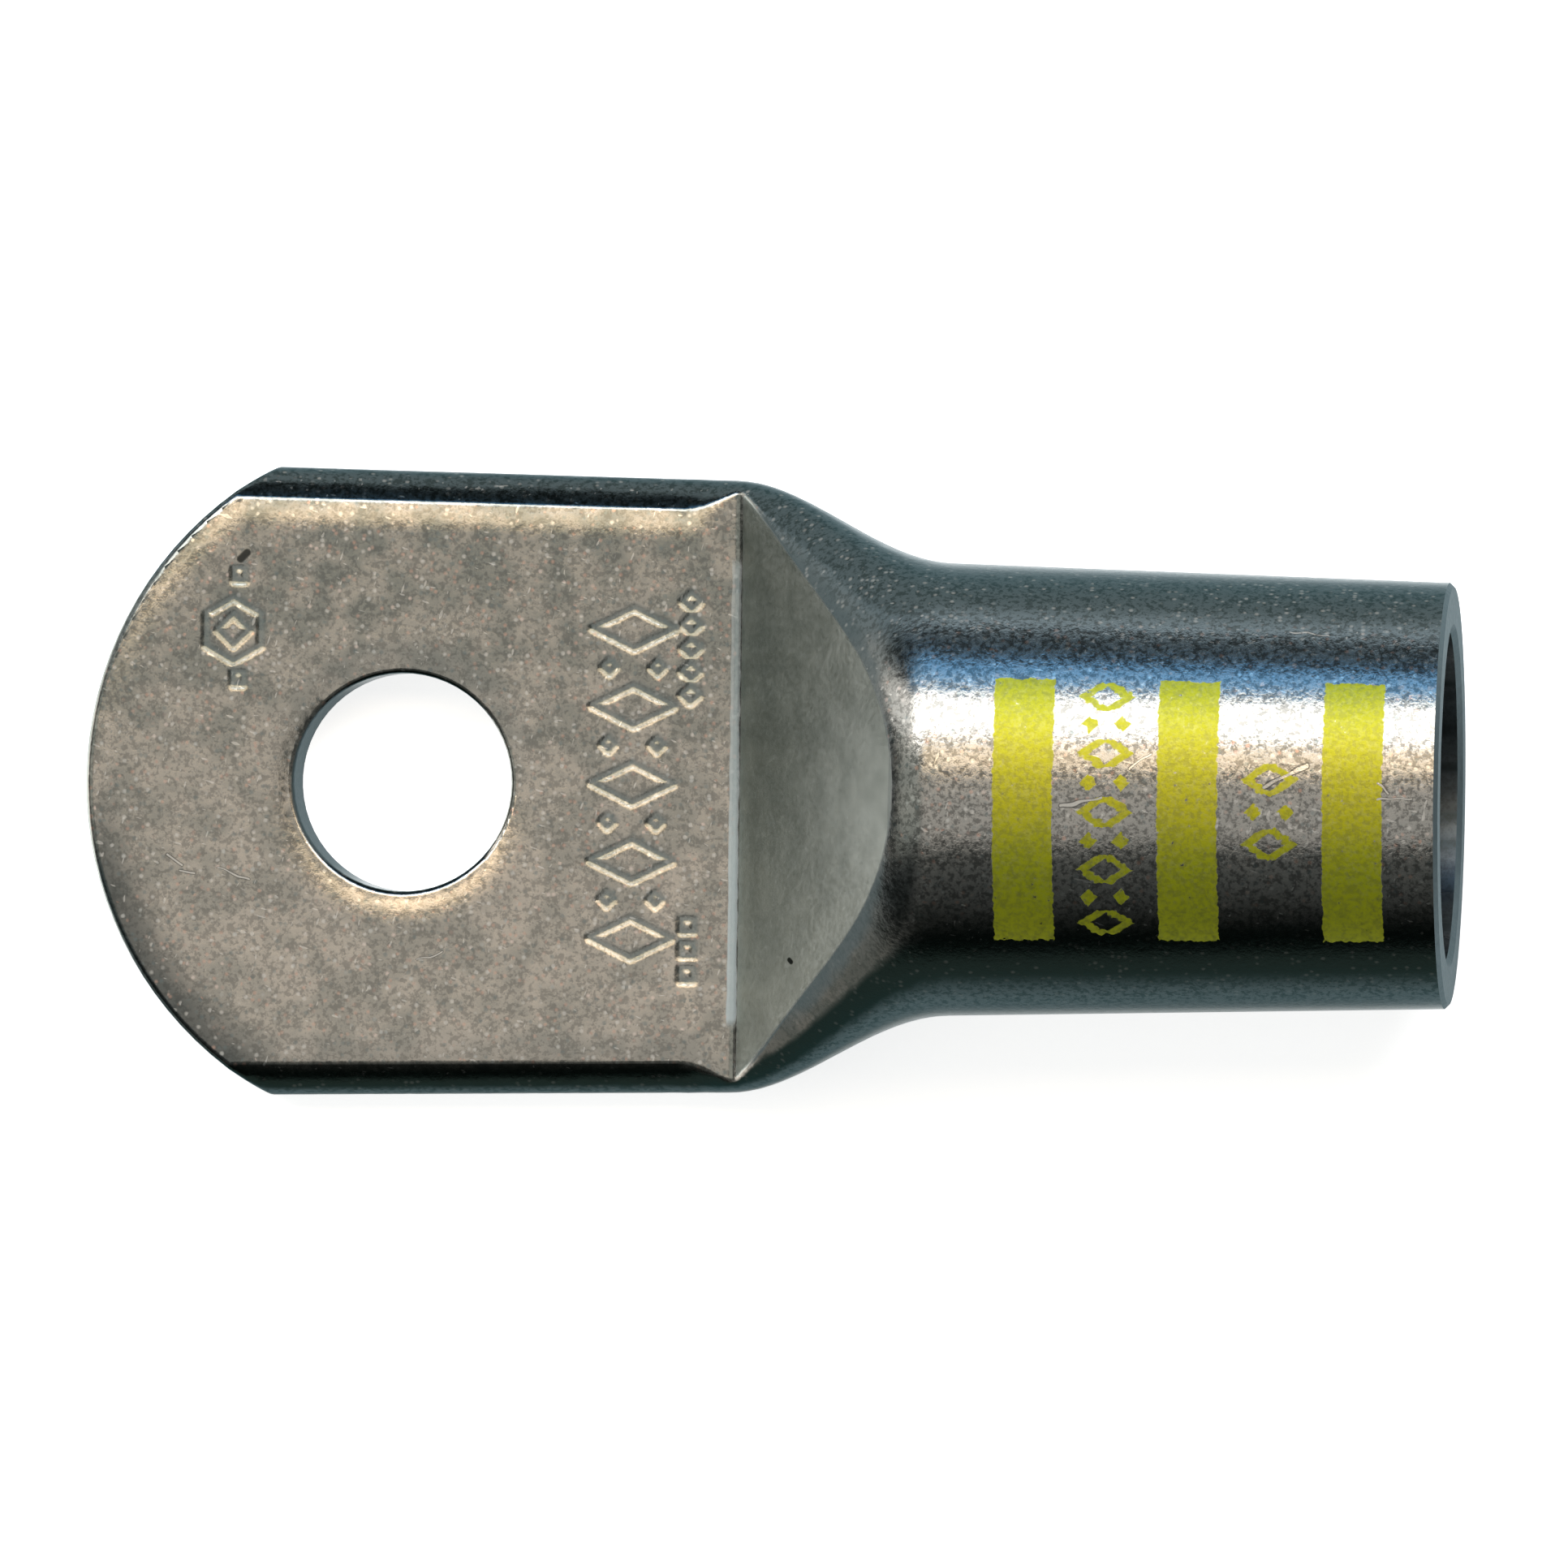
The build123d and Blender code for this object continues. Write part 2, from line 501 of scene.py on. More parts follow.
def stroke_points(strokes, spacing):
    """Points along every stroke, for finding what lies near one."""
    points = []
    for edge in strokes.data.edges:
        start, end = (strokes.data.vertices[i].co for i in edge.vertices)
        steps = max(1, math.ceil((end - start).length / spacing))
        points += [start.lerp(end, i / steps) for i in range(steps + 1)]
    return points


def flat_top(bm):
    """The faces of the palm's flat upper side."""
    return {f for f in bm.faces if f.normal.z > FLAT and abs(f.calc_center_median().z - PALM_TOP) < TOUCH}


def border_of(faces):
    """The edges where a set of faces ends."""
    return [e for f in faces for e in f.edges if sum(g in faces for g in e.link_faces) == 1]


def borders_underside(edge):
    """True for an edge round the flat seating face, which stays crisp so that its shading stays flat."""
    flat = [face.normal.z < -FLAT and abs(face.calc_center_median().z) < TOUCH for face in edge.link_faces]
    return any(flat) and not all(flat)


def divided_rims(bm, step):
    """Divides the long edges round the palm's flat side, and copies its rims as a hidden helper."""
    for edge in border_of(flat_top(bm)):
        cuts = math.floor(edge.calc_length() / step)
        if cuts:
            bmesh.ops.bisect_edges(bm, edges=[edge], cuts=cuts)
    bm.normal_update()
    rims = bmesh.new()
    for edge in border_of(flat_top(bm)):
        if sum(v.co.x for v in edge.verts) / 2 < RIM_END:
            rims.edges.new([rims.verts.new(v.co) for v in edge.verts])
    mesh = bpy.data.meshes.new("palm_rims")
    rims.to_mesh(mesh)
    rims.free()
    return link_object("palm_rims", mesh)


def seeds_near(points, reach, step, gap=0.0):
    """Places on the palm between gap and reach from the points: a staggered grid, in millimetres."""
    tree = kdtree.KDTree(len(points))
    for i, point in enumerate(points):
        tree.insert(point, i)
    tree.balance()
    low = Vector(min(p[i] for p in points) - reach for i in range(2))
    high = Vector(max(p[i] for p in points) + reach for i in range(2))
    seeds = []
    for j in range(math.ceil((high.y - low.y) / (step * ROW_SPACING)) + 1):
        y = low.y + j * step * ROW_SPACING
        for i in range(math.ceil((high.x - low.x) / step) + 1):
            x = low.x + (i + 0.5 * (j % 2)) * step
            if gap <= tree.find((x, y, PALM_TOP))[2] < reach:
                seeds.append(Vector((x, y)) / MM)
    return seeds


def retile_palm(bm, seeds):
    """Tiles the palm's flat upper side anew, with a corner at every seed that lies on it."""
    flat = flat_top(bm)
    border = border_of(flat)
    verts = list({v for e in border for v in e.verts})
    place = {v: i for i, v in enumerate(verts)}
    edges = [(place[e.verts[0]], place[e.verts[1]]) for e in border]
    coords = [v.co.xy / MM for v in verts] + seeds
    corners, _, triangles, sources, *_ = geometry.delaunay_2d_cdt(coords, edges, [], 1, TILE_MERGE)
    hole = min(v.co.xy.length for v in verts)
    height = sum(v.co.z for v in verts) / len(verts)
    bmesh.ops.delete(bm, geom=list(flat), context="FACES")
    made = {i: verts[min(old)] for i, old in enumerate(sources) if old and min(old) < len(verts)}
    for triangle in triangles:
        middle = sum((corners[i] for i in triangle), Vector((0, 0))) / 3 * MM
        if middle.length < hole:
            continue
        for i in triangle:
            if i not in made:
                made[i] = bm.verts.new((corners[i].x * MM, corners[i].y * MM, height))
        tile = [made[i] for i in triangle]
        if len(set(tile)) == 3:
            face = bm.faces.new(tile)
            face.normal_update()
            if face.normal.z < 0:
                face.normal_flip()


def tiled_lug(marks, strokes):
    """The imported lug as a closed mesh, tiled finely where it is punched or rolled, and its rims."""
    bm = bmesh.new()
    bm.from_mesh(frame["nodes"][NODE].data)
    bmesh.ops.remove_doubles(bm, verts=bm.verts, dist=TOUCH)
    bm.normal_update()
    rims = divided_rims(bm, marks.rim_tile)
    seeds = seeds_near(stroke_points(strokes, marks.tile), marks.half_width + marks.tile, marks.tile)
    rim_points = stroke_points(rims, marks.tile)
    seeds += seeds_near(rim_points, marks.rim_width, marks.rim_tile, marks.rim_tile / 2)
    retile_palm(bm, seeds)
    bm.normal_update()
    for face in bm.faces:
        face.smooth = True
    for edge in bm.edges:
        edge.smooth = edge.calc_face_angle(0.0) < SHARP and not borders_underside(edge)
    mesh = bpy.data.meshes.new("tube_lug")
    bm.to_mesh(mesh)
    bm.free()
    return link_object("tube_lug", mesh), rims


def inside_tube(centre, normal):
    """True for a face of the bore or of the closing cavity behind the shoulder."""
    open_share = min(max((centre.x - CAVITY_START) / (CAVITY_ROUND - CAVITY_START), 0.0), 1.0)
    middle = PALM_TOP / 2 + (BARREL_AXIS - PALM_TOP / 2) * open_share
    outward = normal.y * centre.y + normal.z * (centre.z - middle)
    near_axis = math.hypot(centre.y, centre.z - middle) < BORE_REACH or centre.x < CAVITY_ROUND
    return CAVITY_START < centre.x < MOUTH - END_FACE_DEPTH and outward < 0 and near_axis


# Materials


def grain_group():
    """The grain that tumbling leaves: soft dimples, dark pits, and single flecks that catch the light."""
    tree, given, leave = new_group(
        "Tumbled grain",
        "ShaderNodeTree",
        [
            ("Vector", "NodeSocketVector", None),
            ("Dimple Scale", "NodeSocketFloat", 1 / DIMPLE_SIZE),
            ("Fleck Scale", "NodeSocketFloat", 1 / FLECK_SIZE),
        ],
        [
            ("Height", "NodeSocketFloat"),
            ("Pit", "NodeSocketFloat"),
            ("Bright Fleck", "NodeSocketFloat"),
            ("Copper Fleck", "NodeSocketFloat"),
            ("Olive Fleck", "NodeSocketFloat"),
        ],
    )
    dimples = noise(tree, given["Vector"], given["Dimple Scale"], 2.0, 0.8)
    distance, colour = cells(tree, given["Vector"], given["Fleck Scale"])
    feed(tree, leave.inputs["Height"], dimples * 0.8 + distance * 0.2)
    feed(tree, leave.inputs["Pit"], dimples.ramp(0.56, 0.38))

    red, green, blue = split(tree, colour)
    spot = distance.ramp(0.15, 0.55, 1.0, 0.0)
    feed(tree, leave.inputs["Bright Fleck"], red.ramp(0.8, 0.9) * spot)
    feed(tree, leave.inputs["Copper Fleck"], blue.ramp(0.82, 0.96) * spot)
    feed(tree, leave.inputs["Olive Fleck"], green.ramp(0.7, 0.9) * spot)
    return tree


def scratch_group():
    """Short straight scratches in several directions."""
    tree, given, leave = new_group(
        "Short scratches",
        "ShaderNodeTree",
        [("Vector", "NodeSocketVector", None), ("Rarity", "NodeSocketFloat", 0.7)],
        [("Mask", "NodeSocketFloat")],
    )
    mask = None
    for i in range(SCRATCH_DIRECTIONS):
        turn = SCRATCH_TURN + i * math.pi / SCRATCH_DIRECTIONS
        stretched = mapped(tree, given["Vector"], turn, SCRATCH_LENGTH, SCRATCH_WIDTH)
        streaks = noise(tree, stretched, 1.0, 0.0)
        line = streaks.ramp(given["Rarity"], given["Rarity"] + 0.04)
        mask = mask.math("MAXIMUM", line) if mask else line
    feed(tree, leave.inputs["Mask"], mask)
    return tree


def gouge_group(name, gouges):
    """Single knocks and long scratches, each a straight stroke laid on a flat map of the surface."""
    tree, given, leave = new_group(
        name,
        "ShaderNodeTree",
        [("Along", "NodeSocketFloat", 0.0), ("Across", "NodeSocketFloat", 0.0)],
        [("Mask", "NodeSocketFloat"), ("Shade", "NodeSocketFloat")],
    )
    mask = shade = None
    for start_x, start_y, end_x, end_y, half_width in gouges:
        run_x, run_y = (end_x - start_x) * MM, (end_y - start_y) * MM
        from_x = given["Along"] - start_x * MM
        from_y = given["Across"] - start_y * MM
        length = run_x * run_x + run_y * run_y
        share = from_x * (run_x / length) + from_y * (run_y / length)
        share = share.math("MAXIMUM", 0.0).math("MINIMUM", 1.0)
        off_x = from_x - share * run_x
        off_y = from_y - share * run_y
        near = off_x * off_x + off_y * off_y
        reach = (half_width * MM) ** 2
        stroke = near.ramp(reach * 0.3, reach, 1.0, 0.0)
        # A ring round each stroke, where the material paints shade
        beside = near.ramp(reach, reach * 3.0, 1.0, 0.0)
        mask = mask.math("MAXIMUM", stroke) if mask else stroke
        shade = shade.math("MAXIMUM", beside) if shade else beside
    feed(tree, leave.inputs["Mask"], mask)
    feed(tree, leave.inputs["Shade"], shade)
    return tree


def paint_group(paint):
    """Where the yellow paint lies: bands across the barrel's top, and rows of plain marks between them."""
    tree, given, leave = new_group(
        "Painted bands",
        "ShaderNodeTree",
        [("Vector", "NodeSocketVector", None)],
        [("Mask", "NodeSocketFloat")],
    )
    x, y, z = split(tree, given["Vector"])
    rise = z - BARREL_AXIS
    fray = (noise(tree, given["Vector"], FRAY_SIZE, 1.0, 0.7) - 0.5) * paint.fray
    along = x + fray
    around = y.math("ARCTAN2", rise) + fray / SKIN_RADIUS * 1.5

    bands = None
    for i in range(paint.band_count):
        start = paint.first_band + i * paint.band_pitch
        band = along.inside(start, start + paint.band_width, PAINT_EDGE)
        bands = bands + band if bands else band
    painted = bands * around.inside(-paint.lower_angle, paint.upper_angle, PAINT_EDGE / SKIN_RADIUS)

    for i, (first, last, count) in enumerate(PAINTED_ROWS):
        middle = paint.first_band + i * paint.band_pitch + paint.band_pitch / 2 + paint.band_width / 2
        across = (along - middle).math("ABSOLUTE")
        painted = painted + mark_row(paint, across, around, math.radians(first), math.radians(last), count)

    wear = noise(tree, given["Vector"], WEAR_SIZE, 1.0, 0.8)
    film = wear.ramp(0.19, 0.29) * (wear.ramp(0.3, 0.6) * 0.12 + 0.88)
    front = rise.ramp(0.0, MM)
    feed(tree, leave.inputs["Mask"], painted.math("MINIMUM", 1.0) * film * front)
    return tree


def mark_row(paint, across, around, low, high, count):
    """One row of painted marks round the barrel: diamond outlines and pairs of pips by turns."""
    cell = (around - low) * (count / (high - low))
    odd = cell.math("FLOOR").math("PINGPONG", 1.0)
    beside = ((cell.math("FRACT") - 0.5) * ((high - low) / count * SKIN_RADIUS)).math("ABSOLUTE")
    size = across / paint.mark_half_length + beside / paint.mark_half_width
    ring = size.ramp(0.95, 1.05, 1.0, 0.0) * size.ramp(0.5, 0.6)
    pip = (across - paint.pip_offset).math("ABSOLUTE") + beside
    pip = pip.ramp(paint.pip_size, paint.pip_size * 1.2, 1.0, 0.0)
    marks = pip * odd + ring * odd.opposite()
    return marks * around.inside(low, high, ROW_EDGE)


class Skin:
    """Where a point lies on the lug and which way it faces, as fields in a material."""

    def __init__(self, tree):
        self.tree = tree
        self.place = Field(tree, tree.nodes.new("ShaderNodeTexCoord").outputs["Object"])
        self.x, self.y, self.z = split(tree, self.place)
        facing = Field(tree, tree.nodes.new("ShaderNodeNewGeometry").outputs["Normal"])
        self.normal_x, self.normal_y, self.normal_z = split(tree, facing)
        self.angle = self.y.math("ARCTAN2", self.z - BARREL_AXIS)
        self.barrel = self.x.ramp(BARREL_LOOK_START, BARREL_LOOK_END)
        self.clouds = noise(tree, self.place, CLOUD_SIZE, 1.0, 0.6)
        self.wobble = (noise(tree, self.place, WOBBLE_SIZE, 0.0) - 0.5) * WOBBLE_REACH


def shoulder_masks(skin):
    """The pressed shoulder: its flat facet, the crest above it, which gets painted shade, and the lip along
    its foot, which gets a painted highlight that is stronger towards the near side.
    """
    upward = skin.normal_z.ramp(0.3, 0.42)
    facet = skin.normal_x.ramp(-0.72, -0.82) * upward
    crest = skin.normal_x.inside(-0.84, -0.62, 0.05) * upward * skin.z.ramp(PALM_TOP + MM, PALM_TOP + 2 * MM)
    lip = (skin.x + skin.wobble * 0.3).inside(LIP_START, LIP_END, 0.04 * MM)
    lip = lip * skin.y.inside(LIP_NEAR_END, LIP_FAR_END, 0.3 * MM)
    lip = lip * skin.z.inside(PALM_TOP - 0.1 * MM, PALM_TOP + 0.6 * MM, 0.1 * MM)
    # The lip's painted highlight is stronger towards the near side
    return facet, crest, lip * skin.y.ramp(9 * MM, -5 * MM, 0.45, 0.9)


def slope_mask(skin):
    """Faces that lean towards the tip, which get painted shade: behind the shoulder and at the tip, but not
    on the middle line.
    """
    off_flat = (skin.x - FLAT_MIDDLE).math("ABSOLUTE").ramp(SHADE_START, SHADE_FULL)
    off_middle = skin.y.ramp(3 * MM, 7.5 * MM).math("MAXIMUM", skin.y.ramp(-1.5 * MM, -5 * MM))
    return skin.normal_x.ramp(-0.2, -0.42) * off_flat * off_middle


def flank_shade_mask(skin, slope, rough_skin):
    """Painted shade on the sides that turn away from the light, and on faces that lean towards the tip. On
    the barrel the far one starts lower down.
    """
    far_start = mix_value(skin.barrel, 0.3, 0.6)
    far_end = mix_value(skin.barrel, 0.6, 0.84)
    sides = skin.normal_y.ramp(far_start, far_end) + skin.normal_y.ramp(-0.3, -0.65)
    return sides.math("MAXIMUM", slope * 0.85) * rough_skin * skin.normal_z.ramp(0.0, 0.25)


def tip_shade_mask(skin):
    """Painted shade on the near half of the round tip, where its rolled rim turns away from the light."""
    from_centre = skin.x - TIP_CENTRE
    reach = (from_centre * from_centre + skin.y * skin.y).math("SQRT")
    rim = reach.ramp(TIP_RADIUS - 3 * MM, TIP_RADIUS - 0.3 * MM)
    return rim * skin.y.ramp(MM, -6 * MM) * skin.x.ramp(-5 * MM, -8 * MM)


def knock_masks(skin, on_top):
    """Single gouges, the painted shade beside them, and the two dark pits."""
    across = mix_value(skin.barrel, skin.y, skin.angle * SKIN_RADIUS) + skin.wobble
    gouges = gouge_group("Gouges", PALM_GOUGES + TUBE_GOUGES)
    strokes = use_group(skin.tree, gouges, Along=skin.x, Across=across)
    pits = use_group(skin.tree, gouge_group("Palm pits", PALM_PITS), Along=skin.x, Across=skin.y)["Mask"]
    return strokes["Mask"] * on_top, strokes["Shade"] * on_top, pits * skin.normal_z.ramp(0.2, 0.4)


def facet_colour(skin, finish, grain):
    """The pressed shoulder, streaked, and brighter towards the near side as a painted reflection of the
    palm.
    """
    # Random streaks, plus a painted reflection that brightens the shoulder towards the near side
    streaks = skin.clouds.ramp(0.2, 0.8) * 0.25 + skin.y.ramp(3 * MM, -12 * MM) * 0.55
    return mix(skin.tree, streaks + grain["Height"] * 0.2, finish.facet_colour, finish.facet_streak_and_light_colour)


def side_shade_colour(skin, finish, grain):
    """Painted shade on the flanks: slate on the far side and low on the near one, nearly black between and
    in the pits.
    """
    layers = [
        # Nearly black low on the near flank as painted shade, and slate again at its very edge as a painted
        # reflection
        (skin.normal_y.ramp(-0.25, -0.55), finish.near_shade_and_pit_colour),
        (skin.normal_y.ramp(-0.8, -0.93), finish.shade_and_streak_colour),
        (grain["Pit"] * 0.6, finish.near_shade_and_pit_colour),
    ]
    return layered(skin.tree, finish.shade_and_streak_colour, layers)


def film_colour(skin, paint, finish, grain):
    """The paint, with a painted tint of light: warmer where the barrel's highlight falls and greener to both
    sides, with dark pits showing through.
    """
    # Painted tint of light: warm where the barrel's highlight falls, greener away from it
    off_light = (skin.angle - paint.paint_light_angle).math("ABSOLUTE").ramp(math.radians(6), math.radians(32))
    layers = [
        (off_light * 0.75 + skin.clouds * 0.25, paint.paint_shade_colour),
        (grain["Pit"] * 0.24, finish.dark_colour),
    ]
    return layered(skin.tree, paint.colour, layers)


def new_material(name):
    """A material, its node tree and its Principled shader."""
    material = bpy.data.materials.new(name)
    material.use_nodes = True
    return material, material.node_tree, material.node_tree.nodes["Principled BSDF"]


def set_bump(tree, shader, depth, height):
    """Tilts the shader's normal as a height field of the given depth would."""
    bump = tree.nodes.new("ShaderNodeBump")
    bump.inputs["Strength"].default_value = 1.0
    bump.inputs["Distance"].default_value = depth
    feed(tree, bump.inputs["Height"], height)
    tree.links.new(bump.outputs[0], shader.inputs["Normal"])


def tin_material(finish, paint):
    """Tumbled tin over copper: a warm palm, flanks darkened with painted shade, a smooth pressed shoulder
    with a painted reflection, and the paint.
    """
    material, tree, shader = new_material("tumbled_tin")
    skin = Skin(tree)
    grain = use_group(tree, grain_group(), Vector=skin.place)
    scratches = use_group(tree, scratch_group(), Vector=skin.place, Rarity=SCRATCH_RARITY)["Mask"]
    groove = tree.nodes.new("ShaderNodeAttribute")
    groove.attribute_name = GROOVE
    groove = Field(tree, groove.outputs["Fac"])

    facet, crest, lip = shoulder_masks(skin)
    rough_skin = facet.opposite()
    slope = slope_mask(skin)
    flank = flank_shade_mask(skin, slope, rough_skin)
    # Painted cool light on faces that lean towards the far side, where the lamps hang
    far_side_light = skin.normal_y.ramp(0.35, 0.6) * rough_skin
    on_top = skin.normal_y.ramp(0.85, 0.6) * skin.normal_y.ramp(-0.7, -0.45) * skin.normal_z.ramp(0.2, 0.4)
    tumbled = rough_skin * on_top * slope.opposite()
    low = skin.normal_z.ramp(0.25, 0.0)
    mouth = skin.normal_x.ramp(0.3, 0.7)
    gouges, gouge_shade, pits = knock_masks(skin, on_top)
    painted = use_group(tree, paint_group(paint), Vector=skin.place)["Mask"] * gouges.opposite()
    # Random wear, plus a painted gradient of light that is lighter towards the near side
    worn_and_lit = skin.clouds.ramp(0.34, 0.66) * 0.5 + skin.y.ramp(14 * MM, -8 * MM) * 0.5
    flank_fleck = grain["Bright Fleck"] * flank * skin.normal_y.ramp(-0.2, 0.4, 0.02, 0.14)

    layers = [
        (worn_and_lit, finish.palm_worn_and_lit_colour),
        (skin.barrel * 0.7, finish.barrel_colour),
        (far_side_light * 0.85, finish.far_side_light_colour),
        (low * 0.85, finish.under_colour),
        # Painted shade on the near half of the tip
        (tip_shade_mask(skin) * 0.75, finish.shade_and_streak_colour),
        (grain["Pit"] * (skin.barrel * 0.25 + 0.35) * rough_skin, finish.dark_colour),
        (grain["Olive Fleck"] * 0.45 * tumbled, finish.groove_colour),
        (grain["Copper Fleck"] * 0.5 * tumbled, finish.copper_colour),
        (grain["Bright Fleck"] * 0.45 * tumbled, finish.bright_colour),
        (groove * 0.6, finish.groove_colour),
        # The shoulder, with a painted reflection brightening it towards the near side
        (facet * 0.95, facet_colour(skin, finish, grain)),
        # Painted shade on the flanks and on faces that lean towards the tip
        (flank, side_shade_colour(skin, finish, grain)),
        # Painted shade on the shoulder's crest
        (crest * 0.7, finish.shade_and_streak_colour),
        (scratches * 0.4 * tumbled, finish.bright_colour),
        (flank_fleck, finish.bright_colour),
        # Painted shade beside the gouges
        (gouge_shade * 0.75, finish.dark_colour),
        (gouges * 0.65, finish.bright_colour),
        # Painted highlight along the shoulder's foot
        (lip, finish.lip_highlight_colour),
        (pits, finish.dark_colour),
        (mouth, finish.end_colour),
        # The paint, with a painted tint of light round the barrel
        (painted, film_colour(skin, paint, finish, grain)),
    ]
    feed(tree, shader.inputs["Base Color"], layered(tree, finish.palm_colour, layers))
    # The paint, and the painted highlight on the lip, are less metallic
    feed(tree, shader.inputs["Metallic"], painted * -0.5 + lip * -0.8 + 1.0)
    shader.inputs["Specular IOR Level"].default_value = 0.6
    shader.inputs["Specular Tint"].default_value = (*finish.grazing_colour, 1.0)
    roughness = grain["Height"].ramp(0.2, 0.8, 0.15, 0.27) + painted * 0.2 + mouth * 0.3 + facet * 0.14
    feed(tree, shader.inputs["Roughness"], roughness)
    height = grain["Height"] * (rough_skin * 0.98 + 0.02) * (skin.barrel * 0.5 + 1.0)
    set_bump(tree, shader, finish.grain_depth, height)
    return material


def bore_material(finish):
    """The tube's inside: the same tin, drawn smooth along the bore."""
    material, tree, shader = new_material("drawn_bore")
    place = Field(tree, tree.nodes.new("ShaderNodeTexCoord").outputs["Object"])
    drawn = noise(tree, mapped(tree, place, 0.0, DRAWN_LENGTH, DRAWN_WIDTH), 1.0)
    grain = use_group(tree, bpy.data.node_groups["Tumbled grain"], Vector=place)
    layers = [
        (drawn.ramp(0.3, 0.7), finish.shade_and_streak_colour),
        (grain["Pit"] * 0.3, finish.dark_colour),
    ]
    feed(tree, shader.inputs["Base Color"], layered(tree, finish.bore_colour, layers))
    shader.inputs["Metallic"].default_value = 1.0
    shader.inputs["Specular Tint"].default_value = (*finish.bore_grazing_colour, 1.0)
    feed(tree, shader.inputs["Roughness"], drawn.ramp(0.2, 0.8, 0.25, 0.42))
    set_bump(tree, shader, finish.grain_depth, drawn * 0.7 + grain["Height"] * 0.3)
    return material


def floor_material(stage):
    """A pale matte floor. Where it is seen or mirrored, it is lifted to white."""
    material, tree, shader = new_material("pale_floor")
    shader.inputs["Base Color"].default_value = (*stage.floor_colour, 1.0)
    shader.inputs["Roughness"].default_value = 0.9
    shader.inputs["Specular IOR Level"].default_value = 0.0
    path = tree.nodes.new("ShaderNodeLightPath")
    seen = Field(tree, path.outputs["Is Camera Ray"])
    for title in ("Is Glossy Ray", "Is Transmission Ray"):
        seen = seen.math("MAXIMUM", Field(tree, path.outputs[title]))
    shader.inputs["Emission Color"].default_value = (1.0, 1.0, 1.0, 1.0)
    feed(tree, shader.inputs["Emission Strength"], seen * stage.floor_lift)
    return material


# Settings


def colour_setting(name, description, *colour):
    """A colour that can be changed in the sidebar."""
    return FloatVectorProperty(name=name, description=description, default=colour, subtype="COLOR")


def length_setting(name, description, size):
    """A small length that can be changed in the sidebar."""
    return FloatProperty(name=name, description=description, default=size, unit="LENGTH", precision=6)


def angle_setting(name, description, degrees):
    """An angle that can be changed in the sidebar."""
    return FloatProperty(name=name, description=description, default=math.radians(degrees), unit="ROTATION")


def power_setting(name, description, watts):
    """A lamp's power that can be changed in the sidebar."""
    return FloatProperty(name=name, description=description, default=watts, unit="POWER")


class LugMarkSettings(bpy.types.PropertyGroup):
    """Sizes of the marks punched into the palm, and of its rolled rims."""

    depth: length_setting("Depth", "How deep the punch went", 0.055 * MM)
    half_width: length_setting("Half width", "From a stroke's middle to the flat palm", 0.34 * MM)
    floor: length_setting("Floor", "Half the width of a stroke's flat bottom", 0.02 * MM)
    tile: length_setting("Tile", "Size of the mesh tiles beside a stroke", 0.09 * MM)
    rim_width: length_setting("Rim width", "How far in the palm's rims are rolled", 1.5 * MM)
    rim_drop: length_setting("Rim drop", "How far the rolled rims fall", 0.14 * MM)
    rim_tile: length_setting("Rim tile", "Size of the mesh tiles along a rim", 0.3 * MM)


class LugFinishSettings(bpy.types.PropertyGroup):
    """Colours and grain of the tinned skin, and the painted light and shade laid on it."""

    palm_colour: colour_setting("Palm", "Tin on the palm", 0.2, 0.205, 0.185)
    # Lightens the palm where it is worn and, as a painted gradient of light, towards the near side
    palm_worn_and_lit_colour: colour_setting("Worn palm", "Tin where tumbling thinned it", 0.43, 0.388, 0.335)
    barrel_colour: colour_setting("Barrel", "Tin on the barrel", 0.33, 0.32, 0.3)
    # Painted shade on the flanks, the tip and the shoulder's crest; also the drawn streaks in the bore
    shade_and_streak_colour: colour_setting("Flanks", "Tin on the sides", 0.046, 0.059, 0.061)
    # Painted shade low on the near flank; also the pits on the flanks
    near_shade_and_pit_colour: colour_setting("Near flank", "Tarnish on the near side", 0.007, 0.011, 0.009)
    end_colour: colour_setting("Cut end", "The cut face at the mouth", 0.1, 0.13, 0.14)
    facet_colour: colour_setting("Shoulder", "Tin on the pressed shoulder", 0.38, 0.4, 0.36)
    # Brightens the shoulder along its streaks and, as a painted reflection, towards the near side
    facet_streak_and_light_colour: colour_setting("Worn shoulder", "Tin where the press rubbed it", 0.95, 0.97, 0.9)
    # A painted highlight along the shoulder's foot
    lip_highlight_colour: colour_setting("Lip", "Tin along the shoulder's foot", 0.34, 0.38, 0.38)
    under_colour: colour_setting("Underside", "Tin on the walls and the underside", 0.24, 0.26, 0.26)
    # Painted cool light on faces that lean towards the far side
    far_side_light_colour: colour_setting("Far side", "Tin on the side away from the viewer", 0.19, 0.25, 0.28)
    groove_colour: colour_setting("Grooves", "Tin in the punched grooves", 0.15, 0.185, 0.185)
    bore_colour: colour_setting("Bore", "Tin inside the barrel", 0.2, 0.22, 0.23)
    dark_colour: colour_setting("Pits", "Tarnish in the dimples", 0.045, 0.045, 0.04)
    bright_colour: colour_setting("Bright flecks", "Freshly rubbed tin", 0.7, 0.67, 0.62)
    copper_colour: colour_setting("Copper flecks", "Copper showing through", 0.62, 0.37, 0.28)
    grazing_colour: colour_setting("Grazing", "What the tin mirrors at a low angle", 0.5, 0.56, 0.58)
    bore_grazing_colour: colour_setting("Bore grazing", "The same inside the barrel", 0.42, 0.48, 0.5)
    grain_depth: length_setting("Grain depth", "Height of the tumbled grain", 0.01 * MM)


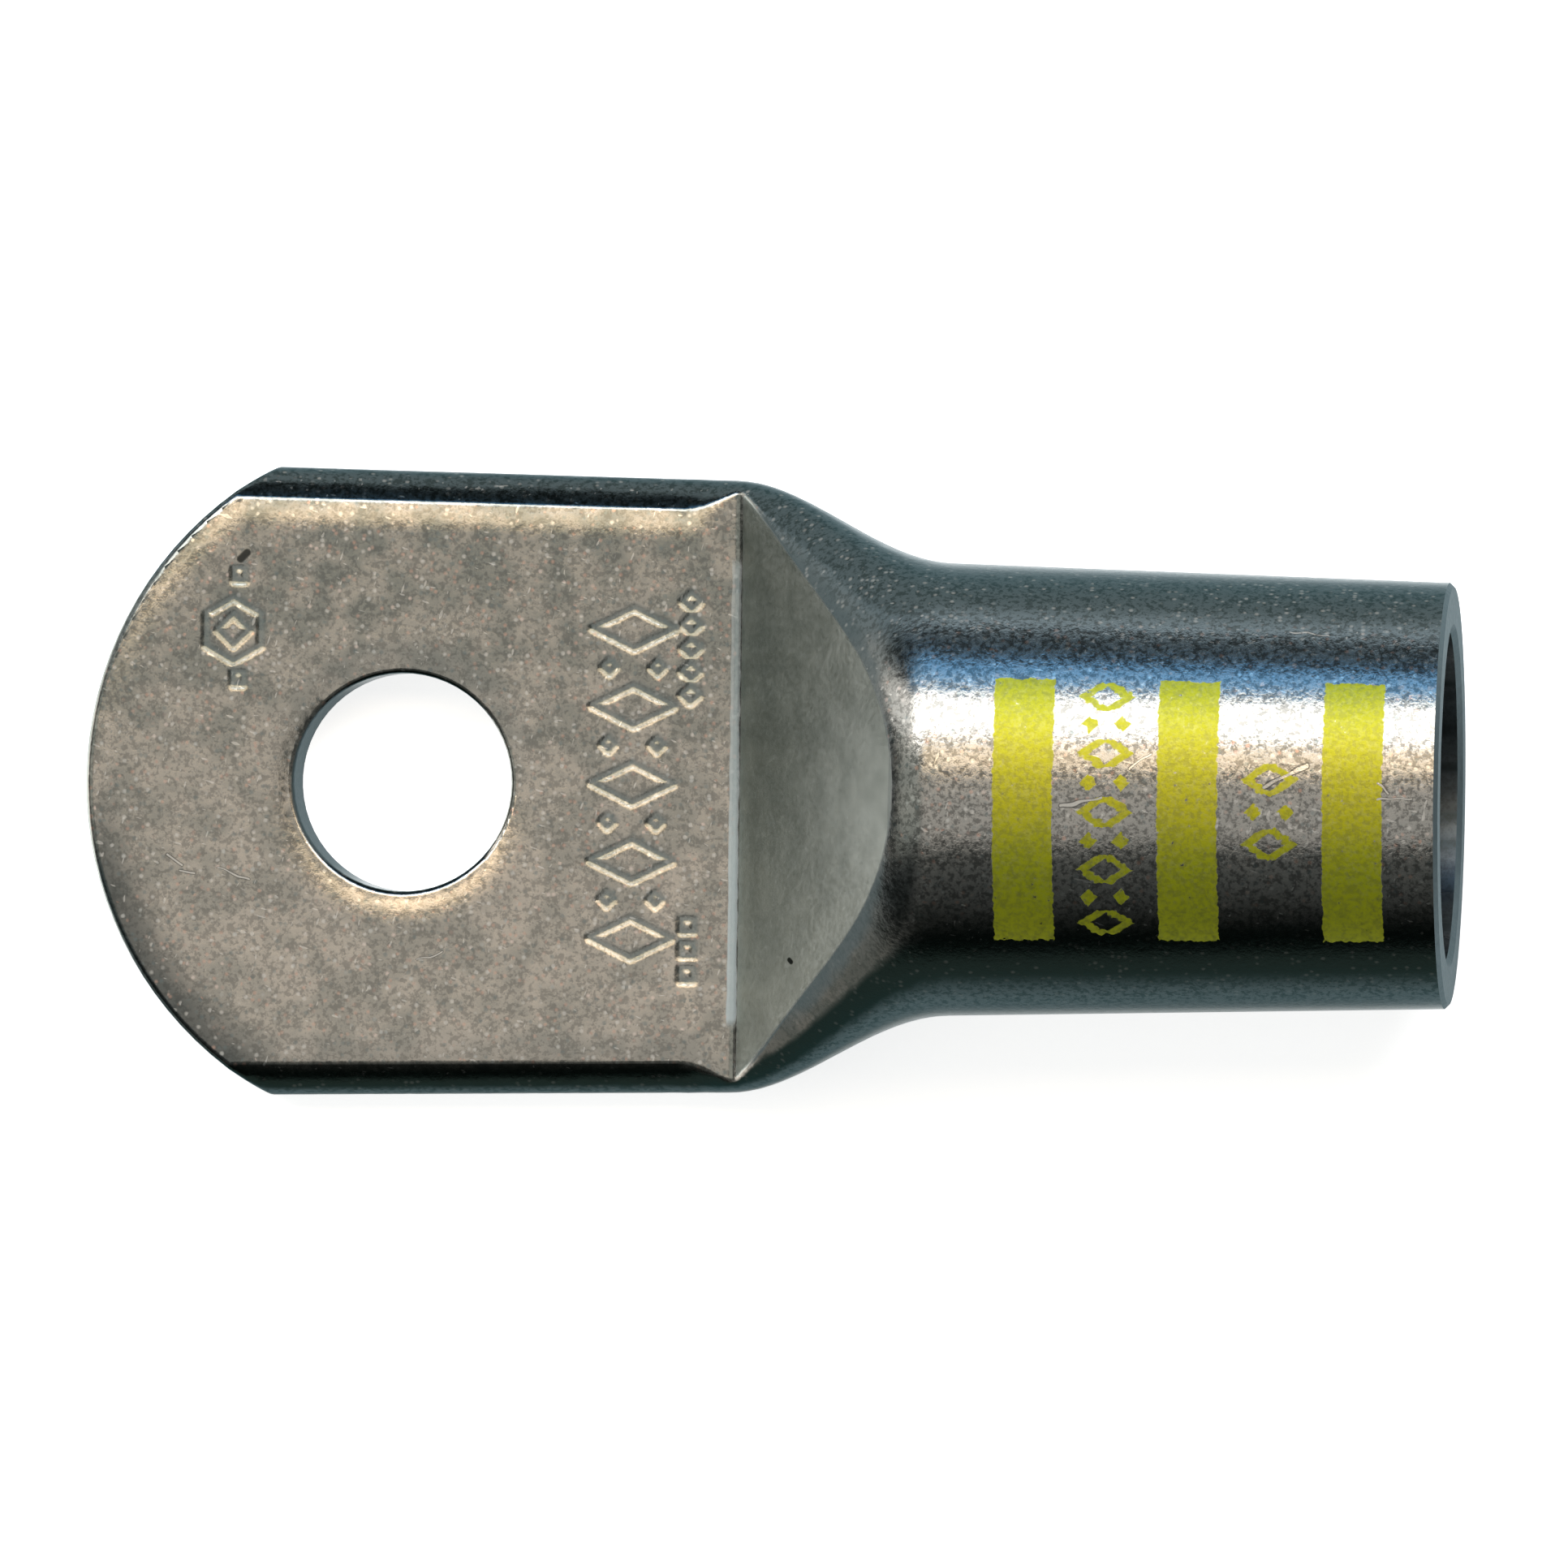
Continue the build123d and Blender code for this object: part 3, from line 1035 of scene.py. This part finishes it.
class LugPaintSettings(bpy.types.PropertyGroup):
    """The painted bands and marks on the barrel."""

    # The paint's yellow, warmed where the barrel's highlight falls as a painted tint of light
    colour: colour_setting("Paint", "Colour of the paint", 0.37, 0.335, 0.005)
    # The paint away from the highlight, greener and darker: a painted tint of light
    paint_shade_colour: colour_setting("Thin paint", "Its colour where it thins out", 0.235, 0.27, 0.004)
    # Where round the barrel the painted warm light is centred
    paint_light_angle: angle_setting("Thickest", "Where round the barrel it is thickest", 6)
    band_count: IntProperty(name="Bands", description="How many bands", default=3, min=1)
    first_band: length_setting("First band", "Where the first band starts", 29.2 * MM)
    band_width: length_setting("Band width", "Width of a band", 2.8 * MM)
    band_pitch: length_setting("Band pitch", "From one band to the next", 7.7 * MM)
    upper_angle: angle_setting("Far end", "How far the bands reach to the far side", 31)
    lower_angle: angle_setting("Near end", "How far the bands reach to the near side", 43)
    fray: length_setting("Fray", "How ragged the paint's edges are", 0.25 * MM)
    mark_half_length: length_setting("Mark half length", "Half a diamond's length", 1.35 * MM)
    mark_half_width: length_setting("Mark half width", "Half a diamond's width", 0.95 * MM)
    pip_offset: length_setting("Pip offset", "How far a pip is from its row's middle", 0.75 * MM)
    pip_size: length_setting("Pip size", "Half a pip's width", 0.38 * MM)


class LugStageSettings(bpy.types.PropertyGroup):
    """The floor, the lamps and the camera."""

    floor_colour: colour_setting("Floor", "Colour of the floor", 0.82, 0.82, 0.82)
    floor_lift: FloatProperty(name="Floor lift", description="Light added where it is seen", default=0.75)
    floor_radius: length_setting("Floor radius", "Radius of the round floor", 2.5)
    strip_power: power_setting("Strip", "Power of the strip lamp", 3.1)
    cool_power: power_setting("Cool strip", "Power of the blue strip", 0.6)
    warm_power: power_setting("Warm strip", "Power of the amber strip", 0.75)
    overhead_power: power_setting("Overhead", "Power of the panel above", 0.42)
    end_power: power_setting("Strip end", "Power of the strip's far end", 0.75)
    fill_power: power_setting("Fill", "Power of the lamp past the tip", 0.32)
    room_colour: colour_setting("Room colour", "Colour of the room's own light", 0.9, 1.0, 1.0)
    room_light: FloatProperty(name="Room", description="Level of the room's own light", default=0.14)
    tilt: angle_setting("Camera tilt", "The camera's lean towards the mouth", 5)
    roll: angle_setting("Camera roll", "Turn of the picture", 0.75)
    frame_width: length_setting("Frame width", "Width that the picture takes in", 73.74 * MM)


# Operators


class LUG_OT_body(bpy.types.Operator):
    """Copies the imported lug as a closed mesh, rolls the palm's rims and punches its marks."""

    bl_idname = "lug.body"
    bl_label = "Make the lug"

    def execute(self, context):
        marks = context.scene.lug_marks
        finish = context.scene.lug_finish
        skin = tin_material(finish, context.scene.lug_paint)
        bore = bore_material(finish)
        strokes = punched_strokes(skin)
        lug, rims = tiled_lug(marks, strokes)
        with_nodes(
            lug,
            roll_tree(),
            Rims=rims,
            Top=PALM_TOP,
            Width=marks.rim_width,
            Drop=marks.rim_drop,
            Fade_Start=FLARE_START,
            Fade_End=RIM_END,
            Material=skin,
        )
        with_nodes(
            lug,
            press_tree(),
            Strokes=strokes,
            Floor_Half_Width=marks.floor,
            Groove_Half_Width=marks.half_width,
            Depth=marks.depth,
            Material=skin,
        )
        even = lug.modifiers.new("even_normals", "WEIGHTED_NORMAL")
        even.keep_sharp = True
        lug.data = plain_mesh(lug, "tube_lug")
        bpy.data.objects.remove(strokes)
        bpy.data.objects.remove(rims)

        lug.data.materials.clear()
        lug.data.materials.append(skin)
        lug.data.materials.append(bore)
        for face in lug.data.polygons:
            face.material_index = int(inside_tube(face.center, face.normal))
        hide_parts(NODE)
        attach(lug, BODY)
        return {"FINISHED"}


class LUG_OT_stage(bpy.types.Operator):
    """Lays the pale floor and hangs the lamps."""

    bl_idname = "lug.stage"
    bl_label = "Set the stage"

    def execute(self, context):
        stage = context.scene.lug_stage
        bm = bmesh.new()
        level = Matrix.Translation((0, 0, -FLOOR_GAP))
        bmesh.ops.create_circle(bm, cap_ends=True, segments=64, radius=stage.floor_radius, matrix=level)
        mesh = bpy.data.meshes.new("studio_floor")
        bm.to_mesh(mesh)
        bm.free()
        floor = link_object("studio_floor", mesh)
        floor.data.materials.append(floor_material(stage))

        hang_lamp("strip", 6, 37, 0.5, (0.85, 0.19), stage.strip_power, (1.0, 1.0, 1.0))
        hang_lamp("cool_strip", 6, 59, 0.5, (0.85, 0.12), stage.cool_power, (0.2, 0.56, 1.0))
        hang_lamp("warm_strip", 0, 17, 0.5, (0.7, 0.1), stage.warm_power, (1.0, 0.82, 0.6))
        hang_lamp("overhead", 14, -9, 0.6, (0.5, 0.37), stage.overhead_power, (1.0, 0.97, 0.93))
        hang_lamp("strip_end", 64, 27, 0.7, (0.55, 0.2), stage.end_power, (1.0, 1.0, 1.0))
        hang_lamp("tip_fill", 56, 0, 0.7, (0.4, 0.5), stage.fill_power, (0.92, 1.0, 0.96))
        set_world(stage.room_colour, stage.room_light)
        return {"FINISHED"}


def hang_lamp(name, lean_x, lean_y, distance, size, power, colour):
    """A soft lamp over the lug, leaned from overhead, in degrees, towards the tip and the far side."""
    lamp = bpy.data.lights.new(name, "AREA")
    lamp.shape = "RECTANGLE"
    lamp.size, lamp.size_y = size
    lamp.energy = power
    lamp.color = colour
    obj = link_object(name, lamp)
    turn = Matrix.Rotation(math.radians(-lean_x), 4, "Y") @ Matrix.Rotation(math.radians(-lean_y), 4, "X")
    obj.matrix_world = Matrix.Translation(LAMP_AIM) @ turn @ Matrix.Translation((0, 0, distance))
    obj.visible_camera = False


def set_world(colour, strength):
    """A dim, even room."""
    world = bpy.data.worlds.new("soft_room")
    bpy.context.scene.world = world
    world.use_nodes = True
    back = world.node_tree.nodes["Background"]
    back.inputs["Color"].default_value = (*colour, 1.0)
    back.inputs["Strength"].default_value = strength


class LUG_OT_camera(bpy.types.Operator):
    """Sets the camera over the lug, leaning a little towards the mouth."""

    bl_idname = "lug.camera"
    bl_label = "Set the camera"

    def execute(self, context):
        stage = context.scene.lug_stage
        data = bpy.data.cameras.new("scan_view")
        camera = link_object("scan_view", data)
        away = Vector((math.sin(stage.tilt), 0, math.cos(stage.tilt)))
        right = Vector((math.cos(stage.tilt), 0, -math.sin(stage.tilt)))
        side = away.cross(right)
        turned_right = right * math.cos(stage.roll) + side * math.sin(stage.roll)
        turned_up = away.cross(turned_right)
        axes = Matrix((turned_right, turned_up, away)).transposed().to_4x4()
        camera.matrix_world = Matrix.Translation(CAMERA_AIM + away * CAMERA_DISTANCE) @ axes
        data.lens = data.sensor_width * CAMERA_DISTANCE / stage.frame_width
        data.clip_start = 0.1
        data.clip_end = 10.0
        context.scene.camera = camera
        context.scene.view_settings.view_transform = "Standard"
        return {"FINISHED"}


class LUG_PT_panel(bpy.types.Panel):
    """Lists the steps that dress the lug."""

    bl_idname = "LUG_PT_panel"
    bl_label = "Tube lug"
    bl_space_type = "VIEW_3D"
    bl_region_type = "UI"
    bl_category = "Tube lug"

    def draw(self, context):
        for operator in (LUG_OT_body, LUG_OT_stage, LUG_OT_camera):
            self.layout.operator(operator.bl_idname)
        scene = context.scene
        for group in (scene.lug_marks, scene.lug_finish, scene.lug_paint, scene.lug_stage):
            box = self.layout.box()
            for title in group.__annotations__:
                box.prop(group, title)


GROUPS = {
    "lug_marks": LugMarkSettings,
    "lug_finish": LugFinishSettings,
    "lug_paint": LugPaintSettings,
    "lug_stage": LugStageSettings,
}
CLASSES = (*GROUPS.values(), LUG_OT_body, LUG_OT_stage, LUG_OT_camera, LUG_PT_panel)


def register():
    for cls in CLASSES:
        bpy.utils.register_class(cls)
    for name, group in GROUPS.items():
        setattr(bpy.types.Scene, name, PointerProperty(type=group))


def unregister():
    for name in GROUPS:
        delattr(bpy.types.Scene, name)
    for cls in reversed(CLASSES):
        bpy.utils.unregister_class(cls)


def main():
    register()
    bpy.ops.lug.body()
    bpy.ops.lug.stage()
    bpy.ops.lug.camera()


if __name__ == "__main__":
    main()
